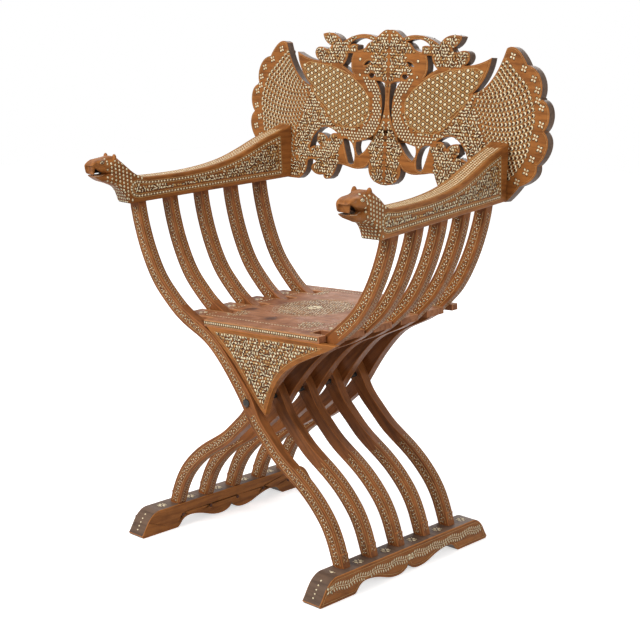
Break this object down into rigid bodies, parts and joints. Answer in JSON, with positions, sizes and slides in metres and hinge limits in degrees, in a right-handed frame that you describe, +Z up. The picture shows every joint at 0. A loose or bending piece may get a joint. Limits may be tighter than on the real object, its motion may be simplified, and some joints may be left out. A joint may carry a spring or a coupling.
{
  "type": "folding armchair",
  "caption": "X-frame folding armchair with crossing serpentine staves, beast-head arms, sled feet, a hinged seat and a pierced, inlaid lift-off back.",
  "frame": {"origin": "on the floor under the middle of the whole chair's bounding box", "axes": "+X to the viewer's right when facing the chair's front, +Y to its rear, +Z up; the sitter looks along -Y"},
  "size_m": [0.741, 0.4966, 0.9517],
  "materials": {
    "carved_wood": "satin",
    "seat_wood": "satin",
    "peg_wood": "satin",
    "dark_iron": "matte"
  },
  "bodies": {
    "left_half": {"left_arm": "carved_wood", "left_stave_1": "carved_wood", "left_stave_2": "carved_wood", "left_stave_3": "carved_wood", "left_stave_4": "carved_wood", "left_stave_5": "carved_wood", "right_foot": "carved_wood", "right_foot_pegs": "peg_wood", "pivot_rod": "dark_iron", "pivot_washer": "dark_iron", "pivot_nut": "dark_iron", "seat_hinge_rod": "dark_iron", "back_key": "peg_wood"},
    "right_half": {"right_arm": "carved_wood", "right_stave_1": "carved_wood", "right_stave_2": "carved_wood", "right_stave_3": "carved_wood", "right_stave_4": "carved_wood", "right_stave_5": "carved_wood", "left_foot": "carved_wood", "left_foot_pegs": "peg_wood", "seat_rest_rod": "dark_iron"},
    "seat": {"seat_board": "seat_wood", "front_seat_batten": "carved_wood", "rear_seat_batten": "carved_wood", "batten_screws": "dark_iron", "apron": "carved_wood"},
    "back": {"back_board": "carved_wood"}
  },
  "joints": [
    {"name": "fold", "type": "hinge", "parent": "left_half", "child": "right_half", "pos_m": [0, 0.01866, 0.296], "axis": [0, -1, 0], "range_deg": [0, 50]},
    {"name": "seat_tip", "type": "hinge", "parent": "left_half", "child": "seat", "pos_m": [-0.15, 0.01866, 0.4294], "axis": [0, -0.9995, -0.03], "range_deg": [0, 100]},
    {"name": "back_lift", "type": "slide", "parent": "left_half", "child": "back", "axis": [0, 0.0389, 0.9992], "range_m": [0, 0.1]}
  ],
  "couplings": [
    {"joint": "seat_tip", "follows": "fold", "ratio": 2}
  ]
}
